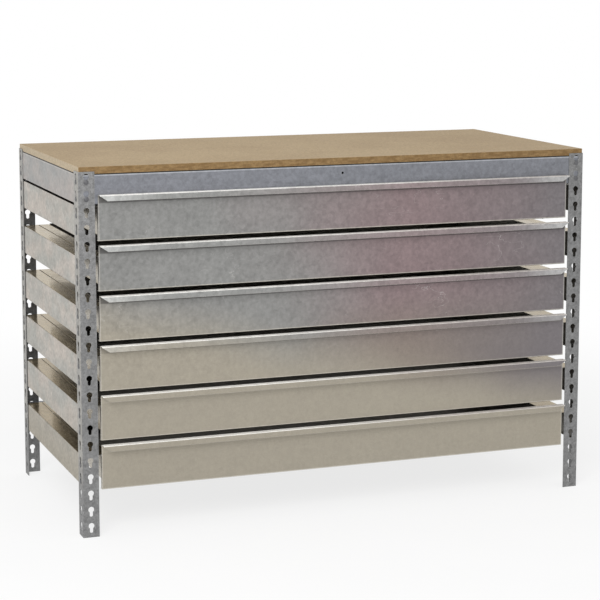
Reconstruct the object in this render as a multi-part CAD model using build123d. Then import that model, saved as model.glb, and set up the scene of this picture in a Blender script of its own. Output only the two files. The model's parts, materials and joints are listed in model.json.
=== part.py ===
from build123d import *
import math
import os

# Workbench of slotted angle posts and folded steel beams, with a wooden top
# and a column of wide sheet steel drawers. Millimetres, Z up. X runs along the
# bench, Y from the front to the back, and the origin is on the floor under the
# middle of the whole outline.

# Overall frame
bench_width = 1266.0
bench_depth = 612.0
post_height = 838.2

# Slotted posts
post_flange = 38.0
post_sheet = 1.5
post_bend_radius = 1.0
hole_pitch = 38.1
top_margin = 4.45
foot_margin = 8.0
keyhole_round_diameter = 13.5
keyhole_slot_width = 7.6
keyhole_drop = 12.5

# Beams and runners
beam_sheet = 1.2
beam_stack_gap = 7.2
beam_below_seat = 12.5
runner_below_seat = 10.0
beam_bend_radius = 1.8
beam_ledge = 25.0
beam_lip = 10.0
beam_hole_diameter = 6.0
beam_hole_drop = 20.0
butt_gap = 0.5
cope_gap = 1.0
runner_lip = 6.0
ledge_wall_gap = 2.0
ledge_setback = 16.0
stop_tab_width = 5.0
stop_tab_height = 8.0
stop_tab_inset = 1.0

# Rivets that hook the beams into the keyholes
rivet_slot_clearance = 0.3
rivet_round_clearance = 1.15
rivet_head_height = 2.0
rivet_rim_height = 1.0
rivet_tail_diameter = 10.0
rivet_tail_height = 1.2
rivet_hole_clearance = 0.1

# Board
board_thickness = 16.0
board_gap = 0.5
board_edge_radius = 0.8

# Drawers
drawer_count = 6
first_runner_holes_down = 2
holes_per_drawer = 3
drawer_sheet = 1.0
drawer_bend_radius = 1.0
front_side_gap = 7.5
front_beam_gap = 0.5
front_rise = 26.5
front_stack_gap = 9.6
front_side_return = 10.0
front_bottom_return = 15.0
return_beam_gap = 3.2
pull_reach = 18.0
pull_drop = 13.0
pull_mitre = 18.0
tray_inset = 20.5
tray_tab_gap = 0.5
rim_post_gap = 1.5
rim_return_gap = 3.0
tray_rear_gap = 7.5
back_rise = 3.0
back_tab = 18.0
drawer_hold = 148.0

# Drawer glides
glide_length = 30.0
glide_height = 10.0
glide_post_gap = 2.0
glide_ledge_gap = 0.5
glide_tab_gap = 2.0
glide_chamfer = 2.0
glide_peg_diameter = 3.6
stop_gap = 0.5

# Drawer rivets
tray_rivet_diameter = 3.2
tray_rivet_head_diameter = 6.5
tray_rivet_head_height = 1.2
tray_rivet_rim_height = 0.5
tray_rivet_tail_diameter = 5.2
tray_rivet_tail_height = 1.0
tray_rivet_edge = 8.0
tray_rivet_low = 18.0
tray_rivet_high = 16.0
front_rivet_count = 5
front_rivet_end = 60.0
fit_clearance = 0.05

# Values that follow from the sizes above
front_y = -(bench_depth - pull_reach + rivet_head_height) / 2
seats = []
seat = post_height - top_margin - keyhole_round_diameter / 2 - keyhole_drop
while seat - keyhole_slot_width / 2 > foot_margin:
    seats.append(seat)
    seat -= hole_pitch

corner_names = ["front_left", "front_right", "rear_right", "rear_left"]
corner_points = [
    (-bench_width / 2, front_y),
    (bench_width / 2, front_y),
    (bench_width / 2, front_y + bench_depth),
    (-bench_width / 2, front_y + bench_depth),
]
side_lengths = [bench_width, bench_depth, bench_width, bench_depth]

rivet_shank_diameter = keyhole_slot_width - 2 * rivet_slot_clearance
rivet_head_diameter = keyhole_round_diameter - 2 * rivet_round_clearance

# A beam hangs by two seats: its upper one is named by how many holes it is down from the top
beam_height = 2 * hole_pitch - beam_stack_gap
beam_over_seat = beam_height - beam_below_seat - hole_pitch
runner_over_seat = beam_height - runner_below_seat - hole_pitch
runner_stack_gap = beam_stack_gap - beam_below_seat + runner_below_seat
runner_holes = [first_runner_holes_down + holes_per_drawer * n for n in range(drawer_count)]
lowest_beam_hole = runner_holes[-1]
side_beam_holes = [0] + runner_holes
beam_holes_by_side = [[0], side_beam_holes, [0, lowest_beam_hole], side_beam_holes]
top_beam_top = seats[0] + beam_over_seat
ledge_tops = [seats[hole] + runner_over_seat for hole in runner_holes]

# Half widths of a drawer about its middle, and its levels above the runner's ledge
drawer_y = front_y + post_sheet - front_beam_gap - drawer_sheet
front_half = bench_width / 2 - post_flange - front_side_gap
wall_half = front_half - tray_inset
rim_half = bench_width / 2 - post_flange - rim_post_gap
glide_half = bench_width / 2 - post_flange - glide_post_gap
front_bottom = front_rise + front_stack_gap - holes_per_drawer * hole_pitch
front_return_top = runner_stack_gap - return_beam_gap
tray_bottom = front_bottom + drawer_sheet
tray_front = drawer_sheet + drawer_bend_radius
tray_back = bench_depth - post_sheet - beam_ledge - tray_rear_gap
rim_front = front_side_return + rim_return_gap
drawer_travel = tray_back - drawer_hold
runner_ledge = bench_width / 2 - wall_half - ledge_wall_gap - post_sheet
glide_rear = tray_back - back_tab - glide_tab_gap
glide_front = glide_rear - glide_length
glide_top = -beam_sheet - glide_ledge_gap
tray_rivet_levels = [tray_bottom + tray_rivet_low, -tray_rivet_high]
glide_level = glide_top - glide_height / 2
peg_y = (glide_front + glide_rear) / 2


def at_corner(index):
    """Frame of a corner of the bench: X along the next side, Y inwards."""
    x, y = corner_points[index]
    return Pos(x, y, 0) * Rot(0, 0, 90 * index)


def folded_section(points, sheet, inner_radius):
    """Outline of a folded sheet whose middle line runs through the points."""
    middle = FilletPolyline(*points, radius=inner_radius + sheet / 2)
    return trace(middle, line_width=sheet)


def along_x(section, start, length):
    """Extrudes a section drawn in Y and Z along X from its start."""
    plane = Plane(origin=(start, 0, 0), x_dir=(0, 1, 0), z_dir=(1, 0, 0))
    return extrude(plane * section, amount=length)


def block(x_range, y_range, z_range):
    """Box between two corners."""
    size = [high - low for low, high in (x_range, y_range, z_range)]
    centre = [(low + high) / 2 for low, high in (x_range, y_range, z_range)]
    return Pos(*centre) * Box(*size)


def rod_y(radius, y_range):
    """Rod along Y through the origin of X and Z."""
    plane = Plane(origin=(0, y_range[0], 0), z_dir=(0, 1, 0))
    return extrude(plane * Circle(radius), amount=y_range[1] - y_range[0])


def rivet(shank_radius, head_radius, head_height, rim_height, tail_radius, tail_height, grip):
    """Rivet along Y: domed head before Y 0, shank through the grip, flat tail behind it."""
    rise = head_height - rim_height
    dome_radius = (head_radius**2 + rise**2) / (2 * rise)
    half_way = head_radius / 2
    half_way_drop = dome_radius - math.sqrt(dome_radius**2 - half_way**2)
    outline = ThreePointArc(
        (0, -head_height),
        (half_way, half_way_drop - head_height),
        (head_radius, -rim_height),
    )
    outline += Polyline(
        (head_radius, -rim_height),
        (head_radius, 0),
        (shank_radius, 0),
        (shank_radius, grip),
        (tail_radius, grip),
        (tail_radius, grip + tail_height),
        (0, grip + tail_height),
        (0, -head_height),
    )
    return revolve(make_face(outline), axis=Axis.Y)


def keyhole(depth):
    """Cutter for a keyhole along Y, with its seat at the origin and its round end above."""
    round_end = Pos(0, keyhole_drop) * Circle(keyhole_round_diameter / 2)
    slot = Pos(0, keyhole_drop / 2) * Rectangle(keyhole_slot_width, keyhole_drop)
    seat_end = Circle(keyhole_slot_width / 2)
    plane = Plane(origin=(0, depth, 0), x_dir=(1, 0, 0), z_dir=(0, -1, 0))
    return extrude(plane * (round_end + slot + seat_end), amount=2 * depth)


def make_post():
    """Angle post with its outer corner at the origin and a row of keyholes in each flange."""
    middle = post_sheet / 2
    points = [(post_flange, middle), (middle, middle), (middle, post_flange)]
    post = extrude(folded_section(points, post_sheet, post_bend_radius), amount=post_height)
    cutter = keyhole(2 * post_sheet)
    for level in seats:
        first = Pos(post_flange / 2, 0, level) * cutter
        second = Pos(0, post_flange / 2, level) * Rot(0, 0, 90) * cutter
        post -= [first, second]
    return post


def beam_rivet_holes(length, upper_seat):
    """Cutters for the four rivet holes of a beam."""
    radius = rivet_shank_diameter / 2 + rivet_hole_clearance
    hole = rod_y(radius, (0, 2 * (post_sheet + beam_sheet)))
    places = [
        (x, level)
        for x in (post_flange / 2, length - post_flange / 2)
        for level in (upper_seat, upper_seat - hole_pitch)
    ]
    return [Pos(x, 0, level) * hole for x, level in places]


def make_beam(side, upper_seat, over_seat, ledge, lip, web_gap, ledge_starts):
    """Channel along one side: web on the posts, ledge at the top and lip at the bottom.

    over_seat is the top's height above the upper seat, web_gap is the web's
    distance from the corners, and ledge_starts are the distances of the ledge
    and lip from the first and second corner.
    """
    length = side_lengths[side]
    top = upper_seat + over_seat
    middle = post_sheet + beam_sheet / 2
    points = [
        (post_sheet + lip, top - beam_height + beam_sheet / 2),
        (middle, top - beam_height + beam_sheet / 2),
        (middle, top - beam_sheet / 2),
        (post_sheet + ledge, top - beam_sheet / 2),
    ]
    section = folded_section(points, beam_sheet, beam_bend_radius)
    beam = along_x(section, web_gap, length - 2 * web_gap)
    web_back = post_sheet + beam_sheet
    reach = post_sheet + ledge
    levels = (top - beam_height, top)
    first_cope = block((0, ledge_starts[0]), (web_back, reach), levels)
    second_cope = block((length - ledge_starts[1], length), (web_back, reach), levels)
    return beam - [first_cope, second_cope] - beam_rivet_holes(length, upper_seat)


def make_cross_beam(side, upper_seat):
    """Front or rear beam: it butts between the side beams and has a small hole at mid length."""
    web_gap = post_sheet + post_bend_radius + beam_sheet + butt_gap
    ends = (web_gap, web_gap)
    beam = make_beam(side, upper_seat, beam_over_seat, beam_ledge, beam_lip, web_gap, ends)
    hole = rod_y(beam_hole_diameter / 2, (0, 2 * (post_sheet + beam_sheet)))
    hole_level = upper_seat + beam_over_seat - beam_hole_drop
    return beam - Pos(side_lengths[side] / 2, 0, hole_level) * hole


def make_side_beam(side, upper_seat):
    """Top side beam: its ledge and lip are coped round those of the cross beams."""
    web_gap = post_sheet + post_bend_radius + butt_gap
    cope = post_sheet + beam_ledge + cope_gap
    return make_beam(side, upper_seat, beam_over_seat, beam_ledge, beam_lip, web_gap, (cope, cope))


def make_runner(side, upper_seat):
    """Side panel that carries a drawer: wide ledge and two stop tabs folded down from it."""
    web_gap = post_sheet + post_bend_radius + butt_gap
    rear_cope = post_sheet + beam_ledge + cope_gap
    front_first = side == 1
    starts = (ledge_setback, rear_cope) if front_first else (rear_cope, ledge_setback)
    runner = make_beam(side, upper_seat, runner_over_seat, runner_ledge, runner_lip, web_gap, starts)
    tab_top = upper_seat + runner_over_seat - beam_sheet / 2
    tab_inner = post_sheet + runner_ledge - stop_tab_inset
    drawer_setback = drawer_y - front_y
    front_tab = drawer_setback + glide_front - drawer_travel - stop_gap - beam_sheet
    rear_tab = drawer_setback + glide_rear + stop_gap
    for tab in (front_tab, rear_tab):
        near = tab if front_first else bench_depth - tab - beam_sheet
        runner += block(
            (near, near + beam_sheet),
            (tab_inner - stop_tab_width, tab_inner),
            (tab_top - beam_sheet / 2 - stop_tab_height, tab_top),
        )
    return runner


def make_post_rivets(index):
    """Rivets of one post, through its flange on the next side and its flange on the side before."""
    body = rivet(
        rivet_shank_diameter / 2,
        rivet_head_diameter / 2,
        rivet_head_height,
        rivet_rim_height,
        rivet_tail_diameter / 2,
        rivet_tail_height,
        post_sheet + beam_sheet,
    )
    rivets = []
    for hole in beam_holes_by_side[index]:
        for level in (seats[hole], seats[hole] - hole_pitch):
            rivets.append(Pos(post_flange / 2, 0, level) * body)
    for hole in beam_holes_by_side[index - 1]:
        for level in (seats[hole], seats[hole] - hole_pitch):
            rivets.append(Pos(0, post_flange / 2, level) * Rot(0, 0, -90) * body)
    return Compound(children=[at_corner(index) * piece for piece in rivets])


def make_worktop():
    """Board inside the post tops, on the ledges of the top beams."""
    inset = post_sheet + board_gap
    x_half = bench_width / 2 - inset
    y_range = (front_y + inset, front_y + bench_depth - inset)
    board = block((-x_half, x_half), y_range, (top_beam_top, top_beam_top + board_thickness))
    return fillet(board.edges(), radius=board_edge_radius)


def sideways(sign):
    """Turns a piece drawn along Y so that it enters a drawer wall from outside."""
    return Rot(0, 0, -90) if sign < 0 else Rot(0, 0, 90)


def drawer_rivet_frames():
    """Frames of a drawer's rivets: up through the front's foot, and inwards through the walls."""
    frames = []
    step = 2 * (front_half - front_rivet_end) / (front_rivet_count - 1)
    for n in range(front_rivet_count):
        x = front_rivet_end - front_half + n * step
        frames.append(Pos(x, front_bottom_return - tray_rivet_edge, front_bottom) * Rot(90, 0, 0))
    back_y = tray_back - back_tab + tray_rivet_edge
    for sign in (-1, 1):
        for level in tray_rivet_levels:
            frames.append(Pos(sign * wall_half, back_y, level) * sideways(sign))
    return frames


def rivet_hole_cutters():
    """Cutters for the holes of a drawer's rivets."""
    hole = rod_y(tray_rivet_diameter / 2 + fit_clearance, (-drawer_sheet, 3 * drawer_sheet))
    return [place * hole for place in drawer_rivet_frames()]


def make_drawer_front():
    """Front folded back along its foot and ends, and forward along its top into a pull lip."""
    middle = drawer_sheet / 2
    points = [
        (front_bottom_return, front_bottom + middle),
        (middle, front_bottom + middle),
        (middle, front_rise - middle),
        (middle - pull_reach, front_rise - middle),
        (middle - pull_reach, front_rise - pull_drop),
    ]
    section = folded_section(points, drawer_sheet, drawer_bend_radius)
    front = along_x(section, -front_half, 2 * front_half)
    for sign in (-1, 1):
        x_range = sorted((sign * front_half, sign * (front_half - drawer_sheet)))
        levels = (front_bottom + drawer_sheet, front_return_top)
        front += block(x_range, (middle, front_side_return), levels)
        mitre = Polyline(
            (sign * front_half, front_rise - drawer_sheet),
            (sign * front_half, front_rise - pull_drop),
            (sign * (front_half - pull_mitre), front_rise - pull_drop),
            close=True,
        )
        plane = Plane(origin=(0, -pull_reach - middle, 0), x_dir=(1, 0, 0), z_dir=(0, -1, 0))
        front -= extrude(plane * make_face(mitre), amount=-2 * drawer_sheet)
    return front - rivet_hole_cutters()


def make_drawer_tray():
    """Bottom and sides folded from one sheet, with rims that slide on the ledges and front tabs."""
    middle = drawer_sheet / 2
    wall = wall_half - middle
    points = [
        (-rim_half, middle),
        (-wall, middle),
        (-wall, tray_bottom + middle),
        (wall, tray_bottom + middle),
        (wall, middle),
        (rim_half, middle),
    ]
    section = folded_section(points, drawer_sheet, drawer_bend_radius)
    plane = Plane(origin=(0, tray_back, 0), x_dir=(1, 0, 0), z_dir=(0, -1, 0))
    tray = extrude(plane * section, amount=tray_back - tray_front)
    peg_hole = rod_y(glide_peg_diameter / 2 + fit_clearance, (-drawer_sheet, 2 * drawer_sheet))
    tab_levels = (tray_bottom + drawer_sheet + drawer_bend_radius, -drawer_sheet - drawer_bend_radius)
    tab_end = front_half - drawer_sheet - tray_tab_gap
    for sign in (-1, 1):
        x_range = sorted((sign * wall_half, sign * rim_half))
        tray -= block(x_range, (tray_front, rim_front), (-drawer_sheet, drawer_sheet))
        tray -= Pos(sign * wall_half, peg_y, glide_level) * sideways(sign) * peg_hole
        x_range = sorted((sign * (wall_half - drawer_sheet), sign * tab_end))
        tray += block(x_range, (drawer_sheet, tray_front), tab_levels)
    return tray - rivet_hole_cutters()


def make_drawer_back():
    """Back wall on the tray's bottom, with a tab folded forward at each end clear of the tray's bends."""
    middle = drawer_sheet / 2
    end = wall_half - drawer_sheet - middle
    points = [
        (-end, tray_back - back_tab),
        (-end, tray_back - middle),
        (end, tray_back - middle),
        (end, tray_back - back_tab),
    ]
    low = tray_bottom + drawer_sheet
    section = folded_section(points, drawer_sheet, drawer_bend_radius)
    back = Pos(0, 0, low) * extrude(section, amount=back_rise - low)
    for sign in (-1, 1):
        inner = wall_half - drawer_sheet
        x_range = sorted((sign * inner, sign * (inner - drawer_bend_radius)))
        back -= block(x_range, (tray_back - back_tab, tray_back), (low, low + drawer_bend_radius))
    return back - rivet_hole_cutters()


def make_drawer_glides():
    """Plastic glides under the ledges, each held by a peg through the tray's wall."""
    glides = []
    for sign in (-1, 1):
        x_range = sorted((sign * wall_half, sign * glide_half))
        body = block(x_range, (glide_front, glide_rear), (glide_top - glide_height, glide_top))
        outer = body.edges().filter_by(Axis.Z).sort_by(Axis.X)
        body = chamfer(outer[-2:] if sign > 0 else outer[:2], length=glide_chamfer)
        peg = rod_y(glide_peg_diameter / 2, (-glide_chamfer, 2 * drawer_sheet))
        glides.append(body + Pos(sign * wall_half, peg_y, glide_level) * sideways(sign) * peg)
    return Compound(children=glides)


def make_drawer_rivets():
    """Small rivets: the front's foot to the tray's bottom, and the walls to the back's tabs."""
    body = rivet(
        tray_rivet_diameter / 2,
        tray_rivet_head_diameter / 2,
        tray_rivet_head_height,
        tray_rivet_rim_height,
        tray_rivet_tail_diameter / 2,
        tray_rivet_tail_height,
        2 * drawer_sheet,
    )
    return Compound(children=[place * body for place in drawer_rivet_frames()])


def save(shape, name):
    """Writes one named piece."""
    export_step(shape, f"parts/{name}.step")


os.makedirs("parts", exist_ok=True)

post = make_post()
for index, name in enumerate(corner_names):
    save(at_corner(index) * post, f"{name}_post")
    save(make_post_rivets(index), f"{name}_rivets")

save(at_corner(0) * make_cross_beam(0, seats[0]), "front_beam")
save(at_corner(2) * make_cross_beam(2, seats[0]), "rear_beam")
save(at_corner(2) * make_cross_beam(2, seats[lowest_beam_hole]), "rear_lower_beam")
for side, name in ((1, "right"), (3, "left")):
    save(at_corner(side) * make_side_beam(side, seats[0]), f"{name}_top_beam")
    for number, hole in enumerate(runner_holes, start=1):
        save(at_corner(side) * make_runner(side, seats[hole]), f"{name}_runner_{number}")

save(make_worktop(), "worktop")

drawer_pieces = {
    "front": make_drawer_front(),
    "tray": make_drawer_tray(),
    "back": make_drawer_back(),
    "glides": make_drawer_glides(),
    "rivets": make_drawer_rivets(),
}
for number, level in enumerate(ledge_tops, start=1):
    place = Pos(0, drawer_y, level)
    for name, piece in drawer_pieces.items():
        save(place * piece, f"drawer_{number}_{name}")
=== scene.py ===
import json
import math

import bpy
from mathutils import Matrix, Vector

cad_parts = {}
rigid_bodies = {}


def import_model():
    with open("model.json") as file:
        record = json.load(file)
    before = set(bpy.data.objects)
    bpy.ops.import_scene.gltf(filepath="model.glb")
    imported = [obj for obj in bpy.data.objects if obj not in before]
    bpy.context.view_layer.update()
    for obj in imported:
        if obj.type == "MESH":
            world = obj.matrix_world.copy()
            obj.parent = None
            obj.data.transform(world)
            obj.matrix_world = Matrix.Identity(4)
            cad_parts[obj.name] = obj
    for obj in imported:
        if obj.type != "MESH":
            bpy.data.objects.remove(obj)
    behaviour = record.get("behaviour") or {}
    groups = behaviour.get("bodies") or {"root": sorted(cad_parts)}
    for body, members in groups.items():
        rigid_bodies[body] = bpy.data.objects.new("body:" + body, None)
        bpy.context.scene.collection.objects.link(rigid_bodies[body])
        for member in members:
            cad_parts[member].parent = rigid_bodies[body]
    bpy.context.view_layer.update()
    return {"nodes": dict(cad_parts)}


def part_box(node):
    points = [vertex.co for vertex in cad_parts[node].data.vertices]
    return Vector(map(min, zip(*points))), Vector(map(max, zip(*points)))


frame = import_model()


# Corner posts: angles rolled from zinc-coated strip, with a row of keyholes punched
# in each flange. The zinc is finely speckled, painted paler on the flanges at the ends
# of the bench as if lit from the side, and bright along the rims of the holes and the
# cut ends, partly worn and partly painted highlight.
class Shade:
    """A socket in a material's node tree. Arithmetic on it adds Math nodes."""

    def __init__(self, tree, socket=None):
        self.tree = tree
        self.socket = socket

    def node(self, kind, settings, inputs, output=0):
        """Adds a node, sets it up, feeds its sockets and gives back one of its outputs."""
        made = self.tree.nodes.new(kind)
        for key, setting in settings.items():
            setattr(made, key, setting)
        for key, given in inputs.items():
            if isinstance(given, Shade):
                self.tree.links.new(given.socket, made.inputs[key])
            else:
                made.inputs[key].default_value = given
        return Shade(self.tree, made.outputs[output])

    def math(self, operation, first, second):
        """Adds a Math node for two values."""
        return self.node("ShaderNodeMath", {"operation": operation}, {0: first, 1: second})

    def __add__(self, other):
        return self.math("ADD", self, other)

    def __radd__(self, other):
        return self.math("ADD", other, self)

    def __sub__(self, other):
        return self.math("SUBTRACT", self, other)

    def __rsub__(self, other):
        return self.math("SUBTRACT", other, self)

    def __mul__(self, other):
        return self.math("MULTIPLY", self, other)

    def __rmul__(self, other):
        return self.math("MULTIPLY", other, self)

    def __mod__(self, other):
        return self.math("FLOORED_MODULO", self, other)

    def __abs__(self):
        return self.math("ABSOLUTE", self, 0)

    def feed(self, socket):
        """Links this value to a socket of the shader."""
        self.tree.links.new(self.socket, socket)


def colour(red, green, blue):
    """A colour as it looks on a screen, 0 to 255, made linear."""
    parts = [channel / 255 for channel in (red, green, blue)]
    return tuple(p / 12.92 if p <= 0.04045 else ((p + 0.055) / 1.055) ** 2.4 for p in parts) + (1.0,)


def noise(place, scale, detail=2.0, stretch=(1, 1, 1)):
    """Soft noise around 0, about 0.2 each way, drawn out along the axes where stretch is small."""
    drawn = place.node("ShaderNodeVectorMath", {"operation": "MULTIPLY"}, {0: place, 1: stretch})
    return place.node("ShaderNodeTexNoise", {}, {"Vector": drawn, "Scale": scale, "Detail": detail}) - 0.5


def ramp(value, low, high):
    """0 below low, 1 above high and a smooth rise between them."""
    settings = {"interpolation_type": "SMOOTHSTEP"}
    return value.node("ShaderNodeMapRange", settings, {"Value": value, "From Min": low, "From Max": high})


def mix(share, first, second):
    """Colour from first to second by a share from 0 to 1."""
    factor, colour_a, colour_b, colour_out = 0, 6, 7, 2
    inputs = {factor: share, colour_a: first, colour_b: second}
    return share.node("ShaderNodeMix", {"data_type": "RGBA"}, inputs, colour_out)


def scaled(place, tint, tone):
    """A colour made lighter or darker by a tone around 1."""
    return place.node("ShaderNodeVectorMath", {"operation": "SCALE"}, {0: tint, "Scale": tone})


def bumps(place, strength, distance, height):
    """The surface's direction, made uneven by a height."""
    return place.node("ShaderNodeBump", {}, {"Strength": strength, "Distance": distance, "Height": height})


def split(place, axis):
    """One axis of a place or a direction."""
    return place.node("ShaderNodeSeparateXYZ", {}, {"Vector": place}, axis)


def facing(place, axis):
    """How squarely the surface faces along an axis, from -1 to 1."""
    return split(place.node("ShaderNodeTexCoord", {}, {}, "Normal"), axis)


def outwards(place):
    """Above 0 on sheet that faces an end of the bench, and below 0 on sheet that faces its middle."""
    return facing(place, "X") * split(place, "X")


def sharp_edges(place, radius):
    """1 on sharp edges and 0 on flat sheet."""
    rounded = place.node("ShaderNodeBevel", {"samples": 4}, {"Radius": radius})
    flat = place.node("ShaderNodeNewGeometry", {}, {}, "Normal")
    settings = {"operation": "DOT_PRODUCT"}
    agreement = place.node("ShaderNodeVectorMath", settings, {0: rounded, 1: flat}, "Value")
    return ramp(1 - agreement, 0.03, 0.3)


def painted_fold_shade(place, distance):
    """Painted shade: 1 deep in the folds of the piece itself, where little light reaches, and 0 on open
    sheet.
    """
    settings = {"samples": 6, "only_local": True}
    open_share = place.node("ShaderNodeAmbientOcclusion", settings, {"Distance": distance}, "AO")
    return ramp(1 - open_share, 0.15, 0.75)


def object_place(tree):
    """A point of the piece, as it lies in the bench."""
    return Shade(tree).node("ShaderNodeTexCoord", {}, {}, "Object")


def new_material(name):
    """An empty material, its shader and its object coordinates."""
    material = bpy.data.materials.new(name)
    material.use_nodes = True
    tree = material.node_tree
    return material, tree.nodes["Principled BSDF"], object_place(tree)


def even(strength):
    """A strength that is the same all over the sheet."""
    return lambda place: strength


# Painted shade colour for the folds of the zinc sheet.
fold_shade_colour = colour(62, 60, 56)
fold_reach = 0.006
edge_width = 0.0012
zinc_metallic = 0.6
untinted = (1, 1, 1, 1)


def zinc_sheet(name, tint, bright, stretch, crystal, mottle, speckle, roughness,
               relief=even(1.0), glancing=untinted):
    """Zinc-coated sheet: crystals, soft mottling drawn out by the rolls, speckle, painted shade in its own
    folds and bright edges, partly worn and partly painted highlight.

    tint gives the sheet's colour from its place, painted light and shade included, mottle how
    strongly it is mottled there and relief how uneven it is.
    """
    material, shader, place = new_material(name)
    wander = noise(place, 0.3 / crystal, 1.0) * crystal * 3
    moved = place.node("ShaderNodeVectorMath", {"operation": "ADD"}, {0: place, 1: wander})
    inputs = {"Vector": moved, "Scale": 1 / crystal, "Smoothness": 0.3}
    cells = place.node("ShaderNodeTexVoronoi", {"feature": "SMOOTH_F1"}, inputs, "Color")
    crystals = place.node("ShaderNodeSeparateColor", {}, {"Color": cells}, "Red") - 0.5
    clouds = noise(place, 7.0, 4.0, stretch)
    blotches = noise(place, 130.0, 3.0)
    streaks = noise(place, 80.0, 3.0, stretch)
    grain = noise(place, 420.0, 2.0)
    pattern = clouds * 0.3 + blotches * 0.6 + streaks * 0.35 + crystals * 0.22
    tone = 1 + mottle(place) * pattern + grain * speckle
    # Painted shade darkens the sheet deep in its own folds.
    shade_darkened = mix(painted_fold_shade(place, fold_reach) * 0.4, scaled(place, tint(place), tone), fold_shade_colour)
    # Bright edges: partly worn bare zinc, partly painted highlight along the bends and rims.
    edges = sharp_edges(place, edge_width) * 0.6
    mix(edges, shade_darkened, colour(*bright)).feed(shader.inputs["Base Color"])
    (roughness + clouds * 0.25 + crystals * 0.1 - edges * 0.08).feed(shader.inputs["Roughness"])
    height = (crystals * 0.3 + streaks + grain * 0.6) * relief(place)
    bumps(place, strength=0.12, distance=0.0006, height=height).feed(shader.inputs["Normal"])
    shader.inputs["Metallic"].default_value = zinc_metallic
    shader.inputs["Specular Tint"].default_value = glancing
    return material


def dress(material, *names):
    """Puts a material on CAD nodes."""
    for name in names:
        slots = frame["nodes"][name].data.materials
        slots.clear()
        slots.append(material)


corners = ["front_left", "front_right", "rear_left", "rear_right"]
flange_grey = colour(128, 128, 128)
# Painted light: a paler grey for the flanges that face the ends of the bench.
lit_flange_grey = colour(160, 158, 153)


def post_tint(place):
    """Grey sheet, painted paler as if lit from the side on the flanges that face the ends of the bench,
    apart from their feet.
    """
    pale = ramp(outwards(place), 0.4, 0.55) * ramp(split(place, "Z"), 0.08, 0.2)
    return mix(pale, flange_grey, lit_flange_grey)


post_zinc = zinc_sheet(
    "post_zinc",
    tint=post_tint,
    bright=(188, 188, 186),
    stretch=(1, 1, 0.5),
    crystal=0.004,
    mottle=even(1.3),
    speckle=0.8,
    roughness=0.5,
)
dress(post_zinc, *[f"{corner}_post" for corner in corners])


# Long beams: channels folded from the same sheet, hooked into the posts at the front
# and the back. The upper ones have a painted highlight along their top bend, where
# the board lies on them, and a painted shadow line in the crack.
beam_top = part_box("front_beam")[1].z
beam_grey = colour(125, 127, 133)
# The next two colours are a painted highlight on the bend and a painted shadow in the crack under the board.
beam_bend_highlight = colour(178, 181, 186)
crack_shadow = colour(38, 36, 33)


def under_board(place, sheet_colour, highlight_colour):
    """The sheet's colour, with a painted highlight on the bend and a painted shadow line in the crack just
    under the board.
    """
    depth = beam_top - split(place, "Z")
    bend = 1 - ramp(depth, 0.004, 0.006)
    crack = 1 - ramp(depth, 0.0018, 0.0028)
    return mix(crack, mix(bend * 0.7, sheet_colour, highlight_colour), crack_shadow)


beam_zinc = zinc_sheet(
    "beam_zinc",
    tint=lambda place: under_board(place, beam_grey, beam_bend_highlight),
    bright=(196, 198, 201),
    stretch=(0.15, 1, 1),
    crystal=0.007,
    mottle=even(0.8),
    speckle=0.3,
    roughness=0.45,
)
dress(beam_zinc, "front_beam", "rear_beam", "rear_lower_beam")


# Side panels: folded channels that close the ends in steps. The top ones carry the
# board, and the others have a wide ledge inside, worn smooth by a drawer and warm in
# tone. Their zinc is pale and cloudy, with painted shadow where the posts cover it,
# painted shade on the inner side, and the top ledge painted dark as shade.
numbers = range(1, 7)
front_post_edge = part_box("front_left_post")[1].y
rear_post_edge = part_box("rear_left_post")[0].y
top_panel_cold, top_panel_warm = colour(155, 155, 153), colour(171, 164, 159)
# Painted highlight on the top panel's bend under the board.
top_panel_bend_highlight = colour(186, 182, 176)
panel_cold, panel_warm = colour(170, 171, 168), colour(191, 184, 178)
panel_near_floor = colour(162, 157, 146)
# Painted shade on the panels' inner side.
panel_inner_shade = colour(112, 110, 106)
# Painted shadow where the post flanges cover the panel and along the rear post's edge.
post_shadow = colour(70, 68, 66)
ledge_tone_low, ledge_tone_high = colour(156, 141, 114), colour(184, 171, 146)
# Painted shade on the top ledge, under the top panel.
top_ledge_shade = colour(44, 41, 36)
worn_metallic, worn_roughness = 0.1, -0.26
worn_relief = 0.85
worn_glancing = (0.86, 0.81, 0.72, 1)


def cloudy(place, first, second):
    """Two tints in soft patches along the panel, with a few upright streaks in them."""
    patches = noise(place, 22.0, 3.0, (1, 0.3, 0.8)) + noise(place, 60.0, 2.0, (1, 0.5, 0.25)) * 0.35
    return mix(ramp(patches, -0.2, 0.2), first, second)


def top_panel_tint(place):
    """Cloudy sheet with the painted highlight on the bend and the painted shadow in the crack under the
    board.
    """
    return under_board(place, cloudy(place, top_panel_cold, top_panel_warm), top_panel_bend_highlight)


def upward(place):
    """1 on the upper side of level sheet, and 0 on upright sheet."""
    return ramp(facing(place, "Z"), 0.85, 0.97)


def ledge_tone(height):
    """The warm tone of ledges and rims, which is duller near the floor."""
    return mix(ramp(height, 0.15, 0.65), ledge_tone_low, ledge_tone_high)


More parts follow.
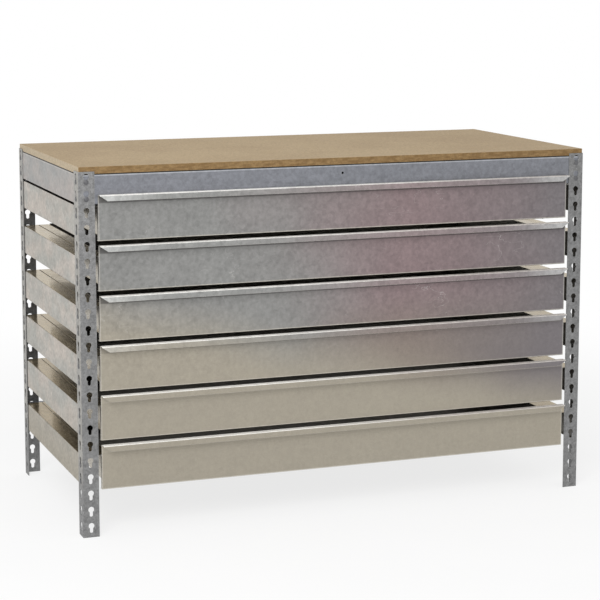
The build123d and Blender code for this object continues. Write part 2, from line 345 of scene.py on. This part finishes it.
def panel_tint(place):
    """Pale sheet, warmer near the floor, with painted shadow under the posts, painted shade on the inner
    side and warm ledges, the top one painted dark as shade.
    """
    along, height = split(place, "Y"), split(place, "Z")
    sheet = mix(ramp(height, 0.1, 0.3), panel_near_floor, cloudy(place, panel_cold, panel_warm))
    under_front = 1 - ramp(along, front_post_edge - 0.004, front_post_edge - 0.001)
    under_rear = ramp(along, rear_post_edge - 0.009, rear_post_edge - 0.006)
    shade_darkened = mix((under_front + under_rear) * 0.9, sheet, post_shadow)
    inner = 1 - ramp(outwards(place), -0.5, -0.3)
    upright = mix(inner, shade_darkened, panel_inner_shade)
    ledge = mix(ramp(height, 0.7, 0.74), ledge_tone(height), top_ledge_shade)
    return mix(upward(place), upright, ledge)


def refinish(material, where, metallic, roughness):
    """Adds to how metallic and how rough the zinc is, where its surface is worn."""
    tree = material.node_tree
    shader = tree.nodes["Principled BSDF"]
    share = where(object_place(tree))
    for name, more in (("Metallic", metallic), ("Roughness", roughness)):
        socket = shader.inputs[name]
        before = Shade(tree, socket.links[0].from_socket) if socket.is_linked else socket.default_value
        (before + share * more).feed(socket)


top_panel_zinc = zinc_sheet(
    "top_panel_zinc",
    tint=top_panel_tint,
    bright=(206, 203, 198),
    stretch=(1, 0.3, 0.5),
    crystal=0.009,
    mottle=even(1.0),
    speckle=0.3,
    roughness=0.48,
)
panel_zinc = zinc_sheet(
    "panel_zinc",
    tint=panel_tint,
    bright=(216, 213, 207),
    stretch=(1, 0.3, 0.5),
    crystal=0.009,
    mottle=even(1.15),
    speckle=0.35,
    roughness=0.46,
    relief=lambda place: 1 - upward(place) * worn_relief,
    glancing=worn_glancing,
)
refinish(panel_zinc, upward, worn_metallic, worn_roughness)
for side in ("left", "right"):
    dress(top_panel_zinc, f"{side}_top_beam")
    dress(panel_zinc, *[f"{side}_runner_{number}" for number in numbers])


# Beam rivets: zinc-plated steel, with a low domed head outside the keyhole and a
# flat tail inside the beam. They have dulled a little darker than the posts.
def plain(red, green, blue):
    """A tint that is the same all over the piece."""
    return lambda place: colour(red, green, blue)[:3]


rivet_zinc = zinc_sheet(
    "rivet_zinc",
    tint=plain(98, 98, 100),
    bright=(128, 128, 128),
    stretch=(1, 1, 1),
    crystal=0.002,
    mottle=even(0.8),
    speckle=0.5,
    roughness=0.42,
)
dress(rivet_zinc, *[f"{corner}_rivets" for corner in corners])


# Board: bare pressed wood fibre, sawn square and laid in the tops of the posts. The
# faces are pale and finely flecked. The long sawn edges show the brown fibres of
# the core, and the short ones are painted paler, as if lit from the side.
face_dark, face_pale = colour(167, 145, 113), colour(178, 157, 125)
core_dark, core_pale = colour(117, 91, 56), colour(138, 112, 75)
# Painted light: the short edges are paler, as if lit from the side.
short_edge_lit = colour(188, 172, 146)
worn_corner = colour(196, 177, 144)
corner_width = 0.002

board_material, board_shader, place = new_material("pressed_board")
flecks = noise(place, 900.0, 3.0, (1, 0.6, 1))
specks = noise(place, 240.0, 3.0)
fibres = noise(place, 180.0, 4.0, (0.6, 1, 1))
stains = noise(place, 4.0, 3.0)
bands = noise(place, 90.0, 3.0, (0.7, 1, 2.0))
face_colour = mix(ramp(stains + fibres * 0.3, -0.18, 0.18), face_dark, face_pale)
core_colour = mix(ramp(bands, -0.2, 0.2), core_dark, core_pale)
with_core = mix(ramp(abs(facing(place, "Y")), 0.4, 0.7), face_colour, core_colour)
all_sides = mix(ramp(abs(facing(place, "X")), 0.4, 0.7), with_core, short_edge_lit)
board_tone = 1 + flecks * 0.6 + specks * 0.7 + fibres * 0.4
worn = sharp_edges(place, corner_width) * 0.45
mix(worn, scaled(place, all_sides, board_tone), worn_corner).feed(board_shader.inputs["Base Color"])
(0.72 + flecks * 0.3 + stains * 0.2).feed(board_shader.inputs["Roughness"])
board_relief = flecks + fibres * 0.8
bumps(place, strength=0.2, distance=0.0005, height=board_relief).feed(board_shader.inputs["Normal"])
board_shader.inputs["Specular IOR Level"].default_value = 0.3
dress(board_material, "worktop")


# Drawer fronts: thin zinc-coated sheet, folded back at the foot and the ends, and
# forward at the top into a pull whose top is painted bright as a highlight. The upper
# fronts are cold and mottled, with dusky and rosy painted reflections of the room to the
# right, and the lower ones smoother, with a warmer painted reflection.
front_low, front_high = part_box("drawer_1_front")
front_height = front_high.z - front_low.z
drawer_pitch = front_low.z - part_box("drawer_2_front")[0].z
# Painted reflection of the room: cold grey at the left, violet-grey, rosy and warm tones elsewhere.
cold_grey, violet_reflection_grey = colour(138, 138, 136), colour(119, 114, 116)
rosy_reflection_low, rosy_reflection_high = colour(136, 125, 117), colour(136, 119, 120)
warm_reflection_grey = colour(162, 155, 141)
scratch_grey = colour(206, 203, 200)
# Painted shadow under the lip, and painted light in that hollow on the lower fronts.
hollow_light_colour, lip_shadow_colour = colour(196, 189, 174), colour(58, 54, 52)
# Painted highlights on the lip, on the folds and on the top of the pull.
lip_highlight_colour = colour(226, 228, 226)
fold_highlight_colour = colour(212, 208, 198)
pull_highlight_left, pull_highlight_right = colour(253, 251, 246), colour(214, 208, 202)


def upper_fronts(place):
    """0 on the lower fronts, rising to 1 on the upper ones."""
    return ramp(split(place, "Z"), 0.3, 0.55)


def above_foot(place, foot):
    """Height above the foot of a piece, in whichever drawer it is."""
    return (split(place, "Z") - foot) % drawer_pitch


def pull_top(place):
    """1 on the upper side of the pull, and 0 elsewhere."""
    return ramp(facing(place, "Z"), 0.3, 0.7)


def room_reflection_tint(place):
    """Painted reflection of the room over the whole stack of fronts, from its place along and up the bench,
    with a few scratches.
    """
    across, up = split(place, "X"), split(place, "Z")
    wander = noise(place, 2.5, 2.0) * 0.5
    rosy = mix(ramp(up, 0.38, 0.54), rosy_reflection_low, rosy_reflection_high)
    dusky = mix(ramp(across + wander, -0.3, 0.15), cold_grey, rosy)
    cold = mix(ramp(across + wander, 0.1, 0.6), dusky, violet_reflection_grey)
    warm = ramp((0.5 - up) * 3.8 - across + wander, 0.13, 0.78)
    sheet = mix(warm, cold, warm_reflection_grey)
    crossings = abs(noise(place, 16.0, 2.0, (1, 1, 2.2)))
    scratches = (1 - ramp(crossings, 0.001, 0.005)) * ramp(noise(place, 9.0), 0.06, 0.16)
    return mix(scratches * upper_fronts(place) * 0.35, sheet, scratch_grey)


def front_tint(place):
    """The room reflection with a painted shadow under the lip, painted light in that hollow on the lower
    fronts, and painted highlights on the lip, the folds and the pull's top, most on the upper fronts.
    """
    across, along = split(place, "X"), split(place, "Y")
    from_middle = abs(across)
    upper = upper_fronts(place)
    height = above_foot(place, front_low.z)
    lip = 1 - ramp(along, front_low.y + 0.004, front_low.y + 0.007)
    hollow = (1 - lip) * ramp(height, front_height - 0.0205, front_height - 0.017)
    soft = mix(hollow * (1 - upper) * 0.3, room_reflection_tint(place), hollow_light_colour)
    lip_shaded = mix(hollow * upper * 0.6, soft, lip_shadow_colour)
    lip_highlight = lip * upper * (0.07 + ramp(from_middle, front_high.x - 0.16, front_high.x) * 0.4)
    pulled = mix(lip_highlight, lip_shaded, lip_highlight_colour)
    fold = 1 - ramp(height, 0.0014, 0.0034)
    ends = ramp(from_middle, front_high.x - 0.003, front_high.x - 0.001)
    folded = mix(place.math("MAXIMUM", fold * 0.7, ends * 0.35), pulled, fold_highlight_colour)
    return mix(pull_top(place), folded, mix(ramp(across, -0.2, 0.45), pull_highlight_left, pull_highlight_right))


front_zinc = zinc_sheet(
    "front_zinc",
    tint=front_tint,
    bright=(222, 219, 210),
    stretch=(1, 1, 0.4),
    crystal=0.011,
    mottle=lambda place: 0.25 + 0.5 * upper_fronts(place),
    speckle=0.25,
    roughness=0.42,
)
refinish(front_zinc, pull_top, metallic=-0.5, roughness=0.0)
dress(front_zinc, *[f"drawer_{number}_front" for number in numbers])


# Drawer trays: bottom and sides folded from one sheet, closed by a back with a tab at
# each end. The rims are worn like the ledges that they slide on, the walls are smooth
# outside and painted darker toward the rims as shade, and the inside is painted dark
# as shade, most in the lower drawers.
back_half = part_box("drawer_1_back")[1].x
tray_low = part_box("drawer_1_tray")[0].z
# Painted shade: the tray's inside is painted dark, and its outer walls darker toward the rims, where the
# panels shade them.
inside_shade_low, inside_shade_high = colour(106, 103, 98), colour(150, 147, 140)
wall_pale, wall_shaded = colour(190, 188, 184), colour(92, 90, 87)


def tray_outside(place):
    """1 on the outside of the walls and on the rims, and 0 inside the tray."""
    return ramp(abs(split(place, "X")), back_half, back_half + 0.001)


def tray_tint(place):
    """Sheet painted dark inside as shade, with outer walls painted darker toward the ledges as shade, and
    worn rims.
    """
    height = split(place, "Z")
    inside = mix(ramp(height, 0.2, 0.6), inside_shade_low, inside_shade_high)
    wall = mix(ramp(above_foot(place, tray_low), 0.018, 0.065), wall_pale, wall_shaded)
    outside = mix(upward(place), wall, ledge_tone(height))
    return mix(tray_outside(place), inside, outside)


tray_zinc = zinc_sheet(
    "tray_zinc",
    tint=tray_tint,
    bright=(206, 202, 194),
    stretch=(0.25, 1, 1),
    crystal=0.011,
    mottle=even(0.7),
    speckle=0.2,
    roughness=0.46,
    relief=lambda place: 1 - tray_outside(place) * worn_relief,
    glancing=worn_glancing,
)
refinish(tray_zinc, tray_outside, worn_metallic, worn_roughness)
for number in numbers:
    dress(tray_zinc, f"drawer_{number}_tray", f"drawer_{number}_back")
    dress(rivet_zinc, f"drawer_{number}_rivets")


# Glides: blocks moulded in dark plastic, pegged into the tray walls under the ledges
# that they slide along. The sliding faces are scuffed a little paler.
plastic_dark, plastic_scuffed = colour(40, 40, 42), colour(84, 84, 86)
glide_material, glide_shader, place = new_material("glide_plastic")
scuffs = noise(place, 180.0, 3.0, (1, 0.08, 1))
pebbles = noise(place, 1400.0, 2.0)
mix(ramp(scuffs, 0.02, 0.25), plastic_dark, plastic_scuffed).feed(glide_shader.inputs["Base Color"])
(0.5 + scuffs * 0.4 + pebbles * 0.2).feed(glide_shader.inputs["Roughness"])
bumps(place, strength=0.2, distance=0.0003, height=pebbles).feed(glide_shader.inputs["Normal"])
dress(glide_material, *[f"drawer_{number}_glides" for number in numbers])


# Studio: a pale floor that runs out of sight, even light from all round, and a large
# soft lamp at the front left and above. The floor and the surroundings look
# white, and the floor keeps the bench's shadow near the bench.
floor_width = 60
floor_dark, floor_pale = colour(246, 246, 246), colour(250, 250, 250)
shadow_share = 0.22
ambient_strength = 0.62
lamp_place = (-2.4, -3.8, 3.2)
lamp_width = 2.4
lamp_watts = 150
lamp_aim_height = 0.45
white = (1, 1, 1, 1)

bpy.ops.object.select_all(action="DESELECT")
bpy.ops.mesh.primitive_plane_add(size=floor_width)
floor = bpy.context.object
floor.name = "studio_floor"


def seen_directly(tree):
    """1 for rays from the camera, mirrors and glass, and 0 for light that falls on the object."""
    camera_ray, mirror_ray, glass_ray = (
        Shade(tree).node("ShaderNodeLightPath", {}, {}, f"Is {ray} Ray")
        for ray in ("Camera", "Glossy", "Transmission")
    )
    first = camera_ray.math("MAXIMUM", camera_ray, mirror_ray)
    return first.math("MAXIMUM", first, glass_ray)


floor_material, paper, place = new_material("studio_floor")
tree = floor_material.node_tree
unevenness = ramp(noise(place, 3.0), -0.3, 0.3)
mix(unevenness, floor_dark, floor_pale).feed(paper.inputs["Base Color"])
paper.inputs["Roughness"].default_value = 0.9
paper.inputs["Specular IOR Level"].default_value = 0.0
paper_look = Shade(tree, paper.outputs["BSDF"])
glow = place.node("ShaderNodeEmission", {}, {"Color": white, "Strength": 1.0})
distance = place.node("ShaderNodeVectorMath", {"operation": "LENGTH"}, {0: place}, "Value")
whiteness = seen_directly(tree) * (1 - shadow_share + shadow_share * ramp(distance, 0.8, 2.6))
floor_look = place.node("ShaderNodeMixShader", {}, {0: whiteness, 1: paper_look, 2: glow})
floor_look.feed(tree.nodes["Material Output"].inputs["Surface"])
floor.data.materials.append(floor_material)

world = bpy.data.worlds.new("studio")
bpy.context.scene.world = world
world.use_nodes = True
tree = world.node_tree
background = tree.nodes["Background"]
(ambient_strength + seen_directly(tree) * (1 - ambient_strength)).feed(background.inputs["Strength"])
background.inputs["Color"].default_value = white

bpy.ops.object.light_add(type="AREA", location=lamp_place)
lamp = bpy.context.object
lamp.name = "soft_lamp"
lamp.data.shape = "SQUARE"
lamp.data.size = lamp_width
lamp.data.energy = lamp_watts
toward_bench = bpy.data.objects["body:frame"].location - lamp.location
toward_bench.z += lamp_aim_height
lamp.rotation_euler = toward_bench.to_track_quat("-Z", "Y").to_euler()


# Camera: at the front left, a little above the board and turned down to it, with a
# long lens.
camera_place = (-1.635994, -4.3902, 1.286287)
degrees_down = 8.157
degrees_right = 20.49
sensor_width = 36
lens_length = 113.89
lens_shift = -0.1
bpy.ops.object.camera_add(location=camera_place)
camera = bpy.context.object
camera.rotation_euler = (math.radians(90 - degrees_down), 0, math.radians(-degrees_right))
camera.data.sensor_width = sensor_width
camera.data.lens = lens_length
camera.data.shift_y = lens_shift
bpy.context.scene.camera = camera
bpy.context.scene.view_settings.view_transform = "Standard"
